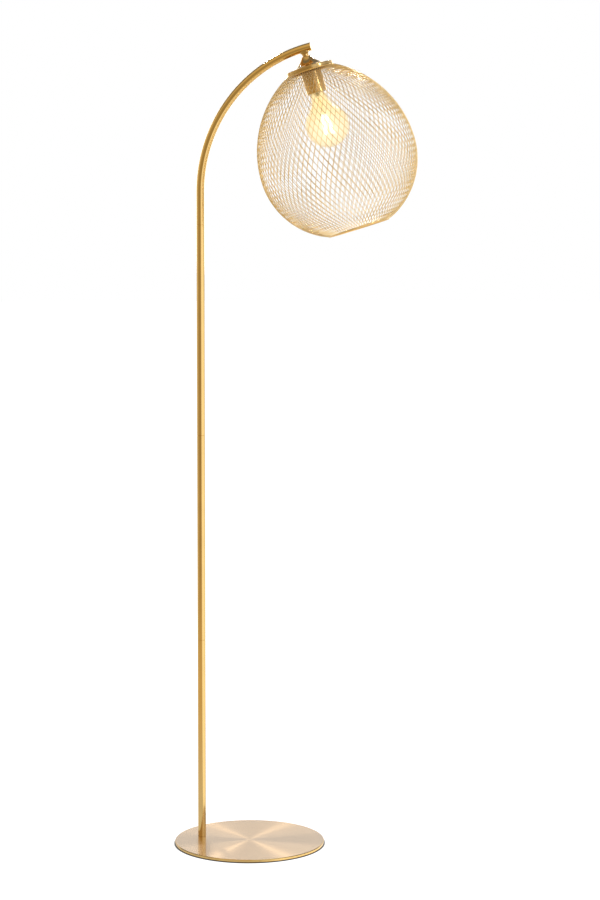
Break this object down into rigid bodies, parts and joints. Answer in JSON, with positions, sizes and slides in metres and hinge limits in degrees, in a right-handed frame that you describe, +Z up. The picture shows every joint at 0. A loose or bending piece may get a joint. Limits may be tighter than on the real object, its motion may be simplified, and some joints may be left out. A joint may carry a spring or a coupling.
{
  "type": "wire cage floor lamp",
  "caption": "Brass floor lamp: round base, jointed pole bent over in a quarter arch, tilted globe cage of crossing wires with an open rim, and one amber globe bulb in a screw lampholder.",
  "frame": {"origin": "centre of the base's underside, on the floor", "axes": "+Z up along the pole; +X the way the arch reaches, towards the shade; +Y to the side"},
  "size_m": [0.4562, 0.2924, 1.5007],
  "materials": {
    "base_champagne": "spun-brushed, champagne, polished rim",
    "base_pad_black": "matt",
    "pole_brass": "satin",
    "polished_brass": "polished",
    "ring_brass": "polished",
    "wire_brass": "bright",
    "zinc_steel": "zinc plated",
    "grommet_black": "matt",
    "phenolic_black": "moulded",
    "contact_brass": "plain",
    "cable_black": "matt",
    "lead_brown": "matt",
    "lead_blue": "matt",
    "bulb_nickel": "nickel plated",
    "bulb_solder": "tinned",
    "bulb_black_glass": "fired glass",
    "bulb_amber_glass": "clear amber",
    "bulb_clear_glass": "clear",
    "filament_lit": "lit",
    "filament_wire": "drawn"
  },
  "bodies": {
    "lamp": {"arched_arm": "pole_brass", "arm_end_block": "zinc_steel", "arm_end_plug": "polished_brass", "base_pad": "base_pad_black", "base_plate": "base_champagne", "base_screw": "zinc_steel", "cage_bottom_ring": "ring_brass", "cage_carrier": "polished_brass", "cage_top_ring": "ring_brass", "cage_wires_inner": "wire_brass", "cage_wires_outer": "wire_brass", "canopy_trumpet": "polished_brass", "cap_plate": "polished_brass", "centre_contact": "contact_brass", "cord_grommet": "grommet_black", "holder_body": "phenolic_black", "holder_cap": "phenolic_black", "holder_cover": "polished_brass", "live_lead": "lead_brown", "lower_joint_nipple": "zinc_steel", "lower_joint_socket": "zinc_steel", "lower_pole": "pole_brass", "middle_joint_nipple": "zinc_steel", "middle_joint_socket": "zinc_steel", "middle_pole": "pole_brass", "neck_saddle": "polished_brass", "neck_stem": "zinc_steel", "neutral_lead": "lead_blue", "pole_foot_plug": "zinc_steel", "screw_shell": "contact_brass", "shell_contact": "contact_brass", "stem_nut": "zinc_steel", "supply_cable": "cable_black", "terminal_blocks": "contact_brass", "terminal_screws": "zinc_steel", "upper_joint_nipple": "zinc_steel", "upper_joint_socket": "zinc_steel", "upper_pole": "pole_brass"},
    "bulb_tip": {"bulb_contact": "bulb_solder"},
    "bulb": {"bulb_cap": "bulb_nickel", "bulb_insulator": "bulb_black_glass", "bulb_glass": "bulb_amber_glass", "bulb_glass_mount": "bulb_clear_glass", "bulb_filaments": "filament_lit", "filament_supports": "filament_wire"}
  },
  "joints": [
    {"name": "bulb_travel", "type": "slide", "parent": "lamp", "child": "bulb_tip", "axis": [0.3074, 0, -0.9516], "range_m": [0, 0.01633]},
    {"name": "bulb_turn", "type": "hinge", "parent": "bulb_tip", "child": "bulb", "pos_m": [0.12399, 0, 1.42927], "axis": [0.3074, 0, -0.9516], "range_deg": [0, 1620]}
  ],
  "couplings": [
    {"joint": "bulb_travel", "follows": "bulb_turn", "m_per_rad": 0.00057751}
  ]
}
